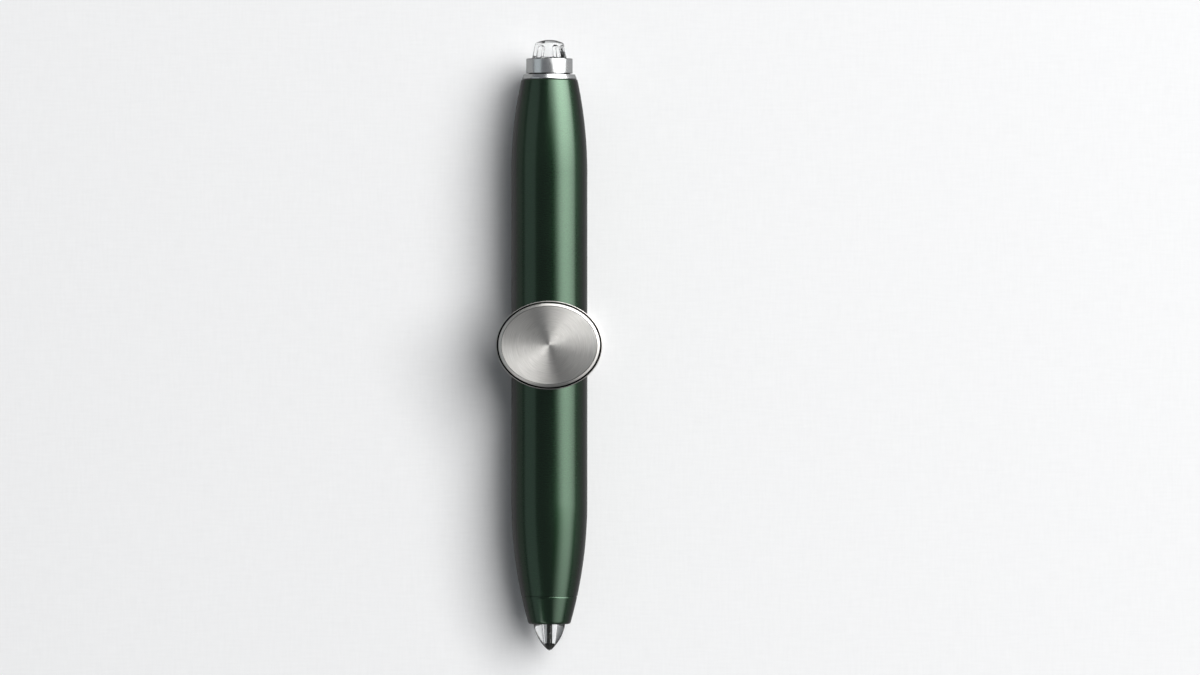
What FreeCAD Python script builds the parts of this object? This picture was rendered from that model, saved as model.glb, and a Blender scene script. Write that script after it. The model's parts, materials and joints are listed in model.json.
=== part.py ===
"""Spinner gel pen: an aluminium barrel that turns on a bearing between two elliptical finger pads.

The pen lies on its back pad. +Z is up, +Y points to the light end and -Y to the writing end.
The origin is the centre of the back pad's resting face, on the axis that the barrel spins about.
"u" is the distance along the pen from the spin axis (the same as Y), and "r" the distance from
the pen's own axis, which is parallel to Y at the height AXIS_Z. Lengths are in millimetres.
"""

import FreeCAD, Part
import math
import os

Vector = FreeCAD.Vector
X_AXIS = Vector(1, 0, 0)
Y_AXIS = Vector(0, 1, 0)
Z_AXIS = Vector(0, 0, 1)
FULL_TURN = 360

# Driving dimensions
BARREL_R = 6.45            # straight middle of the barrel
BARREL_TOP_U = 45.25       # barrel's end face under the light collar
SEAM_U = -42.65            # seam between barrel and nose ring
NOSE_RING_END_U = -47.4
TAPER_LENGTH = 15.9        # each end of the barrel is turned to a long arc of this length
TAPER_ARC_R = 75.0
PAD_HALF_LENGTH = 9.0      # finger pad's ellipse across the pen, with its flange
PAD_HALF_WIDTH = 7.5       # and along the pen
PAD_THICKNESS = 2.2
PAD_GAP = 0.35             # between a pad's underside and the top of the barrel
LENS_TOP_U = 51.9
POINT_END_U = -51.9
THREAD_PITCH = 0.6
SLIDE_CLEARANCE = 0.05

# Worked out from them
TAPER_UPPER_U = BARREL_TOP_U - TAPER_LENGTH
TAPER_LOWER_U = SEAM_U + TAPER_LENGTH
PAD_UNDERSIDE = BARREL_R + PAD_GAP                  # from the pen's axis
AXIS_Z = PAD_UNDERSIDE + PAD_THICKNESS

# Bearing, 3 x 7 x 3
BEARING_BORE_R = 1.5
BEARING_OUTER_R = 3.5
BEARING_HALF_WIDTH = 1.5
INNER_LAND_R = 2.1
OUTER_LAND_R = 2.9
RING_EDGE = 0.12
BALL_R = 0.5
BALL_COUNT = 8
BALL_PITCH_R = (BEARING_BORE_R + BEARING_OUTER_R) / 2
RACE_R = BALL_R + 0.02
SHIELD_R = 3.1
SHIELD_HOLE_R = 2.18
SHIELD_INSIDE = 1.2        # distance of a shield's inner and outer faces from the bearing's middle
SHIELD_OUTSIDE = 1.35
SHIELD_STEP = 1.18
CAGE_INNER_R = 2.2
CAGE_OUTER_R = 2.8
CAGE_LOW = -0.28
CAGE_HIGH = 0.8
CAGE_POCKET_R = BALL_R + 0.05

# Barrel, inside
THREAD_BORE_R = 4.0
CELL_BORE_R = 3.8
CELL_BORE_END_U = 16.5
REFILL_BORE_R = 3.1
REFILL_BORE_END_U = -13.5
THREAD_LENGTH = 4.4
SPOT_FACE_R = 7.2          # flat under each pad, at this height from the pen's axis
SPOT_FACE_HEIGHT = 5.2
SEAM_CHAMFER = 0.14
SEAM_DROP = 0.07           # how far the two edges at the seam are eased inwards
TOP_EDGE_ROUND = 0.25

# Finger pads, each height counted from the pad's underside
PAD_FACE_INSET = 0.85      # from the flange's edge to the flat face
PAD_BEVEL_INSET = 0.48
PAD_GROOVE_INSET = 0.34
PAD_LIP_INSET = 0.15
PAD_FLANGE_HEIGHT = 0.55
PAD_GROOVE_FLOOR = 0.2
PAD_BEVEL_HEIGHT = 2.0
PAD_EDGE_CHAMFER = 0.08
FACE_LINE_WIDTH = 0.07
FACE_LINE_DEPTH = 0.06
BOSS_R = 2.9
BOSS_HEIGHT = 5.45         # the boss under a pad starts this far from the pen's axis
STEM_R = 1.95
SPIGOT_R = BEARING_BORE_R - 0.02
STUD_R = 0.8
STUD_LENGTH = 4.5

# Threads shared by the light collar and the nose ring
THREAD_MAJOR_R = THREAD_BORE_R - SLIDE_CLEARANCE
THREAD_DEPTH = 0.28
THREAD_RUN_IN = 0.5        # plain neck next to the shoulder

# Light collar
COLLAR_R = 3.94
COLLAR_TOP_U = 48.7
COLLAR_LOW_U = 46.2
COLLAR_NECK_R = 3.55
COLLAR_NECK_U = 46.0
COLLAR_BEVEL_R = 4.36
COLLAR_FOOT_R = 4.62
COLLAR_OPENING_R = 3.04
COLLAR_BORE_R = 3.25
COLLAR_LIP_U = 46.55
COLLAR_END_U = BARREL_TOP_U - THREAD_LENGTH
COLLAR_EDGE = 0.12

# Push lens and what moves with it
LENS_BASE_R = 2.98
LENS_SHOULDER_R = 2.46
LENS_SHOULDER_U = 51.15
LENS_CAP_R = 2.26          # where the rounded shoulder meets the shallow cap
LENS_CAP_U = 51.38
LENS_FLANGE_R = 3.2
LENS_FLANGE_LOW_U = 45.9
LENS_SOCKET_R = 1.6
LENS_SOCKET_TOP_U = 48.3
FLUTE_COUNT = 6
FLUTE_R = 0.75
FLUTE_DEPTH = 0.6
FLUTE_END_U = 50.3         # centre of a flute's rounded end
FLUTE_TURN = 24.5          # degrees from the top of the pen to the first flute
LED_R = 1.5
LED_TOP_U = 48.1
LED_RIM_R = 1.75
LED_RIM_HIGH_U = 44.9
LED_LOW_U = 44.4
LEG_SIDE = 0.4
LEG_SPACING = 1.27
CARRIER_R = 3.15
CARRIER_FLOOR_U = 43.4
CARRIER_LOW_U = 42.9
CARRIER_WELL_R = 2.4
ACTUATOR_R = 0.9
ACTUATOR_LOW_U = 38.9

# Switch, cells and their contacts
SWITCH_TOP_U = 41.9
SWITCH_NECK_R = 3.2
SWITCH_RIM_HIGH_U = COLLAR_END_U - SLIDE_CLEARANCE
SWITCH_RIM_LOW_U = 40.2
SWITCH_RIM_R = 3.7
SWITCH_BODY_R = 3.4
SWITCH_LOW_U = 36.0
SWITCH_WELL_R = 2.2
SWITCH_WELL_U = 40.6
SWITCH_BORE_R = ACTUATOR_R + 0.1
SWITCH_BORE_U = 37.4
PLUS_CONTACT_R = 1.5
PLUS_CONTACT_THICKNESS = 0.3
CELL_R = 3.4
CELL_HEIGHT = 2.6
CELL_COUNT = 3
CELL_CAP_R = 2.7
CELL_CAP_HEIGHT = 0.35
CELL_GASKET_R = 2.95
SLEEVE_INNER_R = 3.45
SLEEVE_OUTER_R = 3.7
SLEEVE_LOW_U = 25.0
CONTACT_SPRING_R = 2.6
BUTTON_SPRING_R = 1.75

# Writing end
NOSE_OPENING_R = 2.74
NOSE_LIP_U = -46.85
NOSE_BORE_R = 3.02
NOSE_RING_ROUND = 0.45
NOSE_THREAD_END_U = SEAM_U + THREAD_LENGTH
CONE_R = 2.7
CONE_FLANGE_R = 2.97
CONE_REAR_U = -42.7
CONE_MID_R = 1.84          # the cone's outside bulges through this radius
CONE_MID_U = -49.85
CONE_END_R = 0.36
CONE_END_U = -51.75
CONE_SOCKET_R = 1.9
CONE_SOCKET_END_U = -46.5
CAVITY_WIDE_R = 1.05
CAVITY_WIDE_U = -47.3
CAVITY_NARROW_R = 0.76
CAVITY_END_U = -50.55
POINT_SEAT_GAP = 0.04

# Gel refill
TUBE_R = 2.9
TUBE_INNER_R = 2.45
TUBE_FRONT_U = -42.0
TUBE_REAR_U = -19.0
INK_GAP = 0.01
HOLDER_FLANGE_U = -42.6
HOLDER_PLUG_U = -38.5
HOLDER_NOSE_R = 1.85
HOLDER_NOSE_U = -46.3
HOLDER_TIP_R = 0.85
HOLDER_TIP_U = -47.3
HOLDER_CHANNEL_R = 0.49
INK_TOP_U = -26.0
INK_CHANNEL_U = -44.5
INK_CHANNEL_R = 0.4
FOLLOWER_TOP_U = -23.4
NEEDLE_R = 0.47
NEEDLE_REAR_U = -44.6
POINT_SHOULDER_R = 0.7
POINT_SHOULDER_U = -50.65
POINT_MOUTH_R = 0.27
POINT_MOUTH_U = -51.6
POINT_BORE_R = 0.2
WRITING_BALL_R = 0.25
BALL_SEAT_GAP = 0.01
TAIL_PLUG_U = -21.5
TAIL_BOSS_R = 1.2
TAIL_BOSS_U = -17.6
TAIL_VENT_R = 0.4
REFILL_SPRING_R = 2.3
REFILL_SPRING_WIRE_R = 0.2


def outline(points):
    """Closed face in the XY plane. A point is (x, y); (middle, end) with two points is an arc to end."""
    edges = []
    start = Vector(*points[0], 0)
    for item in list(points[1:]) + [points[0]]:
        if isinstance(item[0], tuple):
            middle, end = (Vector(*p, 0) for p in item)
            edges.append(Part.Arc(start, middle, end).toShape())
        else:
            end = Vector(*item, 0)
            if (end - start).Length < 1e-7:
                continue
            edges.append(Part.LineSegment(start, end).toShape())
        start = end
    return Part.Face(Part.Wire(edges))


def turned(points):
    """Solid turned about the pen's axis from (r, u) points."""
    solid = outline(points).revolve(Vector(), Y_AXIS, FULL_TURN)
    solid.translate(Vector(0, 0, AXIS_Z))
    return solid


def turned_on_hub(points):
    """Solid turned about the spin axis from (r, height above the pen's axis) points."""
    face = outline(points)
    face.rotate(Vector(), X_AXIS, 90)
    solid = face.revolve(Vector(), Z_AXIS, FULL_TURN)
    solid.translate(Vector(0, 0, AXIS_Z))
    return solid


def rod(radius, low_u, high_u):
    """Plain cylinder on the pen's axis."""
    return Part.makeCylinder(radius, high_u - low_u, Vector(0, low_u, AXIS_Z), Y_AXIS)


def hub_rod(radius, low, high):
    """Plain cylinder on the spin axis, heights counted from the pen's axis."""
    return Part.makeCylinder(radius, high - low, Vector(0, 0, AXIS_Z + low), Z_AXIS)


def tube(outer_r, inner_r, low_u, high_u):
    return rod(outer_r, low_u, high_u).cut(rod(inner_r, low_u - 1, high_u + 1))


def taper_radius(u):
    """Radius of the barrel's outside at u, on the arcs that lead to its two ends."""
    past = max(u - TAPER_UPPER_U, TAPER_LOWER_U - u, 0)
    return BARREL_R - TAPER_ARC_R + math.sqrt(TAPER_ARC_R ** 2 - past ** 2)


def taper_arc(start_u, end_u):
    """Arc item for outline() that follows the barrel's taper from start_u to end_u."""
    middle_u = (start_u + end_u) / 2
    return ((taper_radius(middle_u), middle_u), (taper_radius(end_u), end_u))


def coil(mean_r, wire_r, low_u, high_u, turns):
    """Compression spring on the pen's axis: one round wire on a helix."""
    height = high_u - low_u - 2 * wire_r
    path = Part.makeLongHelix(height / turns, height, mean_r)
    section = Part.Wire(Part.Circle(Vector(mean_r, 0, 0), Y_AXIS, wire_r).toShape())
    spring = Part.Wire(path).makePipeShell([section], True, True)
    spring.rotate(Vector(), X_AXIS, -90)
    spring.translate(Vector(0, low_u + wire_r, AXIS_Z))
    return spring


def threaded(low_u, high_u):
    """Male thread on the pen's axis between low_u and high_u, on a core that fills it."""
    core_r = THREAD_MAJOR_R - THREAD_DEPTH
    root = 0.42 * THREAD_PITCH
    crest = 0.1 * THREAD_PITCH
    sunk = 0.05
    height = high_u - low_u + 2 * THREAD_PITCH
    corners = [
        Vector(core_r - sunk, 0, -root),
        Vector(THREAD_MAJOR_R, 0, -crest),
        Vector(THREAD_MAJOR_R, 0, crest),
        Vector(core_r - sunk, 0, root),
    ]
    section = Part.makePolygon(corners + corners[:1])
    path = Part.makeHelix(THREAD_PITCH, height, core_r)
    ridge = Part.Wire(path).makePipeShell([section], True, True)
    ridge.rotate(Vector(), X_AXIS, -90)
    ridge.translate(Vector(0, low_u - THREAD_PITCH, AXIS_Z))
    trimmed = ridge.common(rod(THREAD_MAJOR_R + 1, low_u, high_u))
    return rod(core_r, low_u, high_u).fuse(trimmed)


# ---------------------------------------------------------------- barrel

def barrel_tube():
    """Aluminium barrel, bored from both ends, with a cross bore for the bearing in its solid middle."""
    seam_r = taper_radius(SEAM_U)
    top_r = taper_radius(BARREL_TOP_U)
    body = turned([
        (0, SEAM_U),
        (seam_r - SEAM_DROP, SEAM_U),
        (taper_radius(SEAM_U + SEAM_CHAMFER), SEAM_U + SEAM_CHAMFER),
        taper_arc(SEAM_U + SEAM_CHAMFER, TAPER_LOWER_U),
        (BARREL_R, TAPER_UPPER_U),
        taper_arc(TAPER_UPPER_U, BARREL_TOP_U - TOP_EDGE_ROUND),
        ((top_r - 0.3 * TOP_EDGE_ROUND, BARREL_TOP_U - 0.3 * TOP_EDGE_ROUND),
         (top_r - TOP_EDGE_ROUND, BARREL_TOP_U)),
        (0, BARREL_TOP_U),
    ])
    body = body.cut(turned([
        (0, CELL_BORE_END_U),
        (CELL_BORE_R, CELL_BORE_END_U),
        (CELL_BORE_R, COLLAR_END_U - SLIDE_CLEARANCE),
        (THREAD_BORE_R, COLLAR_END_U - SLIDE_CLEARANCE),
        (THREAD_BORE_R, BARREL_TOP_U + 1),
        (0, BARREL_TOP_U + 1),
    ]))
    body = body.cut(turned([
        (0, REFILL_BORE_END_U),
        (REFILL_BORE_R, REFILL_BORE_END_U),
        (REFILL_BORE_R, NOSE_THREAD_END_U + SLIDE_CLEARANCE),
        (THREAD_BORE_R, NOSE_THREAD_END_U + SLIDE_CLEARANCE),
        (THREAD_BORE_R, SEAM_U - 1),
        (0, SEAM_U - 1),
    ]))
    body = body.cut(hub_rod(BEARING_OUTER_R, -BEARING_HALF_WIDTH, BARREL_R + 1))
    body = body.cut(hub_rod(SHIELD_R, -BARREL_R - 1, 0))
    for low in (SPOT_FACE_HEIGHT, -BARREL_R - 1):
        body = body.cut(hub_rod(SPOT_FACE_R, low, low + BARREL_R + 1 - SPOT_FACE_HEIGHT))
    return body


# ---------------------------------------------------------------- bearing and finger pads

def race_groove():
    return Part.makeTorus(BALL_PITCH_R, RACE_R, Vector(0, 0, AXIS_Z), Z_AXIS)


def ball_places():
    """Centres of the bearing's balls, evenly round the spin axis."""
    for index in range(BALL_COUNT):
        angle = 2 * math.pi * index / BALL_COUNT
        yield Vector(BALL_PITCH_R * math.cos(angle), BALL_PITCH_R * math.sin(angle), AXIS_Z)


def bearing_inner_ring():
    ring = turned_on_hub([
        (BEARING_BORE_R, -BEARING_HALF_WIDTH),
        (INNER_LAND_R - RING_EDGE, -BEARING_HALF_WIDTH),
        (INNER_LAND_R, -BEARING_HALF_WIDTH + RING_EDGE),
        (INNER_LAND_R, BEARING_HALF_WIDTH - RING_EDGE),
        (INNER_LAND_R - RING_EDGE, BEARING_HALF_WIDTH),
        (BEARING_BORE_R, BEARING_HALF_WIDTH),
    ])
    return ring.cut(race_groove())


def bearing_outer_ring():
    ring = turned_on_hub([
        (SHIELD_R, -BEARING_HALF_WIDTH),
        (BEARING_OUTER_R - RING_EDGE, -BEARING_HALF_WIDTH),
        (BEARING_OUTER_R, -BEARING_HALF_WIDTH + RING_EDGE),
        (BEARING_OUTER_R, BEARING_HALF_WIDTH - RING_EDGE),
        (BEARING_OUTER_R - RING_EDGE, BEARING_HALF_WIDTH),
        (SHIELD_R, BEARING_HALF_WIDTH),
        (SHIELD_R, SHIELD_STEP),
        (OUTER_LAND_R, SHIELD_STEP),
        (OUTER_LAND_R, -SHIELD_STEP),
        (SHIELD_R, -SHIELD_STEP),
    ])
    return ring.cut(race_groove())


def bearing_shield(side):
    """Thin pressed washer that closes one side of the bearing; side is 1 at the front and -1 at the back."""
    low, high = sorted((side * SHIELD_INSIDE, side * SHIELD_OUTSIDE))
    return hub_rod(SHIELD_R, low, high).cut(hub_rod(SHIELD_HOLE_R, low - 1, high + 1))


def bearing_balls():
    return Part.makeCompound([Part.makeSphere(BALL_R, place) for place in ball_places()])


def bearing_cage():
    """Crown cage: a ring over the balls with round pockets open at the back."""
    cage = hub_rod(CAGE_OUTER_R, CAGE_LOW, CAGE_HIGH).cut(hub_rod(CAGE_INNER_R, CAGE_LOW - 1, CAGE_HIGH + 1))
    for place in ball_places():
        cage = cage.cut(Part.makeSphere(CAGE_POCKET_R, place))
    return cage


def ellipse_at(inset, height):
    """Outline of the pad, drawn in by inset, at a height above the pad's underside."""
    curve = Part.Ellipse(Vector(0, 0, height), PAD_HALF_LENGTH - inset, PAD_HALF_WIDTH - inset)
    return Part.Wire(curve.toShape())


def elliptical_layer(low_inset, low, high_inset, high):
    """Slice of a pad between two ellipses."""
    return Part.makeLoft([ellipse_at(low_inset, low), ellipse_at(high_inset, high)], True, True)


def elliptical_ring(outer_inset, inner_inset, low, high):
    return elliptical_layer(outer_inset, low, outer_inset, high).cut(
        elliptical_layer(inner_inset, low - 1, inner_inset, high + 1))


def pad_plate():
    """Turned pad with its underside at zero: a thin flange, a groove, and a bevelled, brushed face."""
    plate = elliptical_layer(PAD_EDGE_CHAMFER, 0, 0, PAD_EDGE_CHAMFER)
    plate = plate.fuse([
        elliptical_layer(0, PAD_EDGE_CHAMFER, 0, PAD_FLANGE_HEIGHT - PAD_EDGE_CHAMFER),
        elliptical_layer(0, PAD_FLANGE_HEIGHT - PAD_EDGE_CHAMFER, PAD_EDGE_CHAMFER, PAD_FLANGE_HEIGHT),
        elliptical_layer(PAD_GROOVE_INSET, PAD_FLANGE_HEIGHT, PAD_BEVEL_INSET, PAD_BEVEL_HEIGHT),
        elliptical_layer(PAD_BEVEL_INSET, PAD_BEVEL_HEIGHT, PAD_FACE_INSET, PAD_THICKNESS),
    ])
    groove = elliptical_ring(PAD_LIP_INSET, PAD_GROOVE_INSET, PAD_GROOVE_FLOOR, PAD_FLANGE_HEIGHT + 0.1)
    line = elliptical_ring(PAD_FACE_INSET + FACE_LINE_WIDTH, PAD_FACE_INSET + 2 * FACE_LINE_WIDTH,
                           PAD_THICKNESS - FACE_LINE_DEPTH, PAD_THICKNESS + 0.1)
    plate = plate.cut(groove).cut(line)
    plate.translate(Vector(0, 0, PAD_UNDERSIDE))
    return plate


def front_pad():
    """Upper finger pad, with a socketed stem through the front half of the bearing."""
    middle_gap = 0.05
    pad = pad_plate()
    pad.translate(Vector(0, 0, AXIS_Z))
    pad = pad.fuse([
        hub_rod(BOSS_R, BOSS_HEIGHT, PAD_UNDERSIDE + 0.1),
        hub_rod(STEM_R, BEARING_HALF_WIDTH, BOSS_HEIGHT + 0.1),
        hub_rod(SPIGOT_R, middle_gap, BEARING_HALF_WIDTH + 0.1),
    ])
    return pad.cut(hub_rod(STUD_R + 0.01, 0, STUD_LENGTH + 0.3)).removeSplitter()


def back_pad():
    """Lower finger pad, with the stud that is pressed into the front pad's stem."""
    pad = pad_plate()
    pad.rotate(Vector(), X_AXIS, 180)
    pad.translate(Vector(0, 0, AXIS_Z))
    pad = pad.fuse([
        hub_rod(BOSS_R, -PAD_UNDERSIDE - 0.1, -BOSS_HEIGHT),
        hub_rod(STEM_R, -BOSS_HEIGHT - 0.1, -BEARING_HALF_WIDTH),
        hub_rod(SPIGOT_R, -BEARING_HALF_WIDTH - 0.1, 0),
        hub_rod(STUD_R, -0.1, STUD_LENGTH),
    ])
    return pad.removeSplitter()


# ---------------------------------------------------------------- light end

def light_collar():
    """Chromed collar that screws into the barrel and holds the light unit in."""
    foot = turned([
        (0, BARREL_TOP_U),
        (COLLAR_FOOT_R - COLLAR_EDGE, BARREL_TOP_U),
        (COLLAR_FOOT_R, BARREL_TOP_U + COLLAR_EDGE),
        (COLLAR_BEVEL_R, COLLAR_NECK_U),
        (COLLAR_NECK_R, COLLAR_NECK_U),
        (COLLAR_NECK_R, COLLAR_LOW_U),
        (COLLAR_R - COLLAR_EDGE, COLLAR_LOW_U),
        (COLLAR_R, COLLAR_LOW_U + COLLAR_EDGE),
        (COLLAR_R, COLLAR_TOP_U - COLLAR_EDGE),
        (COLLAR_R - COLLAR_EDGE, COLLAR_TOP_U),
        (0, COLLAR_TOP_U),
    ])
    neck = rod(THREAD_MAJOR_R - THREAD_DEPTH, BARREL_TOP_U - THREAD_RUN_IN, BARREL_TOP_U)
    body = foot.fuse([neck, threaded(COLLAR_END_U, BARREL_TOP_U - THREAD_RUN_IN)])
    body = body.cut(rod(COLLAR_OPENING_R, COLLAR_LIP_U - 1, COLLAR_TOP_U + 1))
    return body.cut(rod(COLLAR_BORE_R, COLLAR_END_U - 1, COLLAR_LIP_U)).removeSplitter()


def lens_button():
    """Clear fluted lens that is also the light's push button."""
    cap_height = LENS_TOP_U - LENS_CAP_U
    cap_ball_r = (LENS_CAP_R ** 2 + cap_height ** 2) / (2 * cap_height)
    half_angle = math.asin(LENS_CAP_R / cap_ball_r) / 2
    cap_middle = (cap_ball_r * math.sin(half_angle), LENS_TOP_U - cap_ball_r * (1 - math.cos(half_angle)))
    lens = turned([
        (0, LENS_FLANGE_LOW_U),
        (LENS_FLANGE_R, LENS_FLANGE_LOW_U),
        (LENS_FLANGE_R, COLLAR_LIP_U - SLIDE_CLEARANCE),
        (LENS_BASE_R, COLLAR_LIP_U - SLIDE_CLEARANCE),
        (LENS_BASE_R, COLLAR_TOP_U),
        (LENS_SHOULDER_R, LENS_SHOULDER_U),
        ((LENS_SHOULDER_R - 0.06, (LENS_SHOULDER_U + LENS_CAP_U) / 2 + 0.03), (LENS_CAP_R, LENS_CAP_U)),
        (cap_middle, (0, LENS_TOP_U)),
    ])
    lens = lens.cut(rod(LENS_SOCKET_R, LENS_FLANGE_LOW_U - 1, LENS_SOCKET_TOP_U))
    lean = math.degrees(math.atan2(LENS_BASE_R - LENS_SHOULDER_R, LENS_SHOULDER_U - COLLAR_TOP_U))
    flute_length = FLUTE_END_U - COLLAR_TOP_U
    for index in range(FLUTE_COUNT):
        flute = Part.makeCylinder(FLUTE_R, flute_length)
        flute = flute.fuse(Part.makeSphere(FLUTE_R, Vector(0, 0, flute_length)))
        flute.rotate(Vector(), X_AXIS, -90 - lean)
        flute.translate(Vector(0, COLLAR_TOP_U, LENS_BASE_R + FLUTE_R - FLUTE_DEPTH))
        flute.rotate(Vector(), Y_AXIS, FLUTE_TURN + FULL_TURN * index / FLUTE_COUNT)
        flute.translate(Vector(0, 0, AXIS_Z))
        lens = lens.cut(flute)
    return lens


def led():
    """Round 3 mm light-emitting diode with its rim."""
    shoulder = LED_TOP_U - LED_R
    diagonal = LED_R * math.sqrt(0.5)
    return turned([
        (0, LED_LOW_U),
        (LED_RIM_R, LED_LOW_U),
        (LED_RIM_R, LED_RIM_HIGH_U),
        (LED_R, LED_RIM_HIGH_U),
        (LED_R, shoulder),
        ((diagonal, shoulder + diagonal), (0, LED_TOP_U)),
    ])


def led_legs():
    """The diode's two square legs, cut short where they meet the carrier's floor."""
    legs = []
    for side in (-1, 1):
        corner = Vector(side * LEG_SPACING - LEG_SIDE / 2, CARRIER_FLOOR_U, AXIS_Z - LEG_SIDE / 2)
        legs.append(Part.makeBox(LEG_SIDE, LED_LOW_U - CARRIER_FLOOR_U, LEG_SIDE, corner))
    return Part.makeCompound(legs)


def led_carrier():
    """White cup under the lens that holds the diode and carries its push to the switch."""
    cup = rod(CARRIER_R, CARRIER_LOW_U, LENS_FLANGE_LOW_U)
    cup = cup.cut(rod(CARRIER_WELL_R, CARRIER_FLOOR_U, LED_RIM_HIGH_U))
    cup = cup.cut(rod(LED_R + SLIDE_CLEARANCE, LED_RIM_HIGH_U - 1, LENS_FLANGE_LOW_U + 1))
    return cup


def switch_actuator():
    """Pin under the carrier that clicks the latching switch."""
    return turned([
        (0, ACTUATOR_LOW_U),
        (ACTUATOR_R - 0.2, ACTUATOR_LOW_U),
        (ACTUATOR_R, ACTUATOR_LOW_U + 0.2),
        (ACTUATOR_R, CARRIER_LOW_U),
        (0, CARRIER_LOW_U),
    ])


def button_spring():
    return coil(BUTTON_SPRING_R, 0.15, SWITCH_WELL_U, CARRIER_LOW_U, 4)


def switch_body():
    """Housing of the latching switch, held between the collar's end and the cell sleeve."""
    body = turned([
        (0, SWITCH_LOW_U),
        (SWITCH_BODY_R, SWITCH_LOW_U),
        (SWITCH_BODY_R, SWITCH_RIM_LOW_U),
        (SWITCH_RIM_R, SWITCH_RIM_LOW_U),
        (SWITCH_RIM_R, SWITCH_RIM_HIGH_U),
        (SWITCH_NECK_R, SWITCH_RIM_HIGH_U),
        (SWITCH_NECK_R, SWITCH_TOP_U),
        (0, SWITCH_TOP_U),
    ])
    body = body.cut(rod(SWITCH_WELL_R, SWITCH_WELL_U, SWITCH_TOP_U + 1))
    return body.cut(rod(SWITCH_BORE_R, SWITCH_BORE_U, SWITCH_TOP_U + 1))


def plus_contact():
    low = SWITCH_LOW_U - PLUS_CONTACT_THICKNESS
    return rod(PLUS_CONTACT_R, low, SWITCH_LOW_U)


def button_cell(index):
    """One button cell, its wide can towards the switch and its narrower cap towards the spring."""
    high = SWITCH_LOW_U - PLUS_CONTACT_THICKNESS - index * CELL_HEIGHT
    low = high - CELL_HEIGHT
    edge = 0.2
    return turned([
        (0, low),
        (CELL_CAP_R, low),
        (CELL_CAP_R + 0.1, low + CELL_CAP_HEIGHT),
        (CELL_GASKET_R, low + CELL_CAP_HEIGHT),
        (CELL_R, low + CELL_CAP_HEIGHT + edge),
        (CELL_R, high - edge),
        (CELL_R - edge, high),
        (0, high),
    ])


def cell_sleeve():
    return tube(SLEEVE_OUTER_R, SLEEVE_INNER_R, SLEEVE_LOW_U, SWITCH_RIM_LOW_U)


def contact_spring():
    top = SWITCH_LOW_U - PLUS_CONTACT_THICKNESS - CELL_COUNT * CELL_HEIGHT
    return coil(CONTACT_SPRING_R, 0.22, CELL_BORE_END_U, top, 7)


# ---------------------------------------------------------------- writing end

def nose_ring():
    """Green ring that carries on the barrel's taper, screws into it and holds the clear cone."""
    seam_r = taper_radius(SEAM_U)
    round_u = NOSE_RING_END_U + NOSE_RING_ROUND
    end_r = taper_radius(round_u)
    shell = turned([
        (0, SEAM_U),
        (seam_r - SEAM_DROP, SEAM_U),
        (taper_radius(SEAM_U - SEAM_CHAMFER), SEAM_U - SEAM_CHAMFER),
        taper_arc(SEAM_U - SEAM_CHAMFER, round_u),
        ((end_r - 0.35 * NOSE_RING_ROUND, NOSE_RING_END_U + 0.3 * NOSE_RING_ROUND),
         (end_r - NOSE_RING_ROUND, NOSE_RING_END_U)),
        (0, NOSE_RING_END_U),
    ])
    neck = rod(THREAD_MAJOR_R - THREAD_DEPTH, SEAM_U, SEAM_U + THREAD_RUN_IN)
    body = shell.fuse([neck, threaded(SEAM_U + THREAD_RUN_IN, NOSE_THREAD_END_U)])
    body = body.cut(rod(NOSE_BORE_R, NOSE_LIP_U, NOSE_THREAD_END_U + 1))
    return body.cut(rod(NOSE_OPENING_R, NOSE_RING_END_U - 1, NOSE_LIP_U + 1)).removeSplitter()


def nose_cone():
    """Clear cone around the point: a hollow shell whose solid end is the seat of the point."""
    seat_r = POINT_SHOULDER_R + POINT_SEAT_GAP
    mouth_r = POINT_MOUTH_R + POINT_SEAT_GAP
    flange_u = NOSE_LIP_U + SLIDE_CLEARANCE
    return turned([
        (CONE_SOCKET_R, CONE_REAR_U),
        (CONE_FLANGE_R, CONE_REAR_U),
        (CONE_FLANGE_R, flange_u),
        (CONE_R, flange_u),
        (CONE_R, NOSE_RING_END_U),
        ((CONE_MID_R, CONE_MID_U), (CONE_END_R, CONE_END_U)),
        (mouth_r, CONE_END_U),
        (mouth_r, POINT_MOUTH_U - 0.02),
        (seat_r, POINT_SHOULDER_U - POINT_SEAT_GAP),
        (seat_r, CAVITY_END_U),
        (CAVITY_NARROW_R, CAVITY_END_U),
        (CAVITY_WIDE_R, CAVITY_WIDE_U),
        (CONE_SOCKET_R, CONE_SOCKET_END_U - 0.2),
    ])


def refill_tube():
    return tube(TUBE_R, TUBE_INNER_R, TUBE_FRONT_U, TUBE_REAR_U)


def point_holder():
    """Plastic plug that joins the tube to the metal point."""
    plug_r = TUBE_INNER_R - INK_GAP
    return turned([
        (HOLDER_CHANNEL_R, HOLDER_PLUG_U),
        (plug_r, HOLDER_PLUG_U),
        (plug_r, TUBE_FRONT_U),
        (TUBE_R, TUBE_FRONT_U),
        (TUBE_R, HOLDER_FLANGE_U),
        (HOLDER_NOSE_R, HOLDER_FLANGE_U),
        (HOLDER_NOSE_R, HOLDER_NOSE_U),
        (HOLDER_TIP_R, HOLDER_TIP_U),
        (HOLDER_CHANNEL_R, HOLDER_TIP_U),
    ])


def gel_ink():
    """Ink column in the tube and down the holder's channel."""
    column_r = TUBE_INNER_R - INK_GAP
    return turned([
        (0, INK_CHANNEL_U),
        (INK_CHANNEL_R, INK_CHANNEL_U),
        (INK_CHANNEL_R, HOLDER_PLUG_U),
        (column_r, HOLDER_PLUG_U),
        (column_r, INK_TOP_U),
        (0, INK_TOP_U),
    ])


def ink_follower():
    return rod(TUBE_INNER_R - INK_GAP, INK_TOP_U, FOLLOWER_TOP_U)


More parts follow.
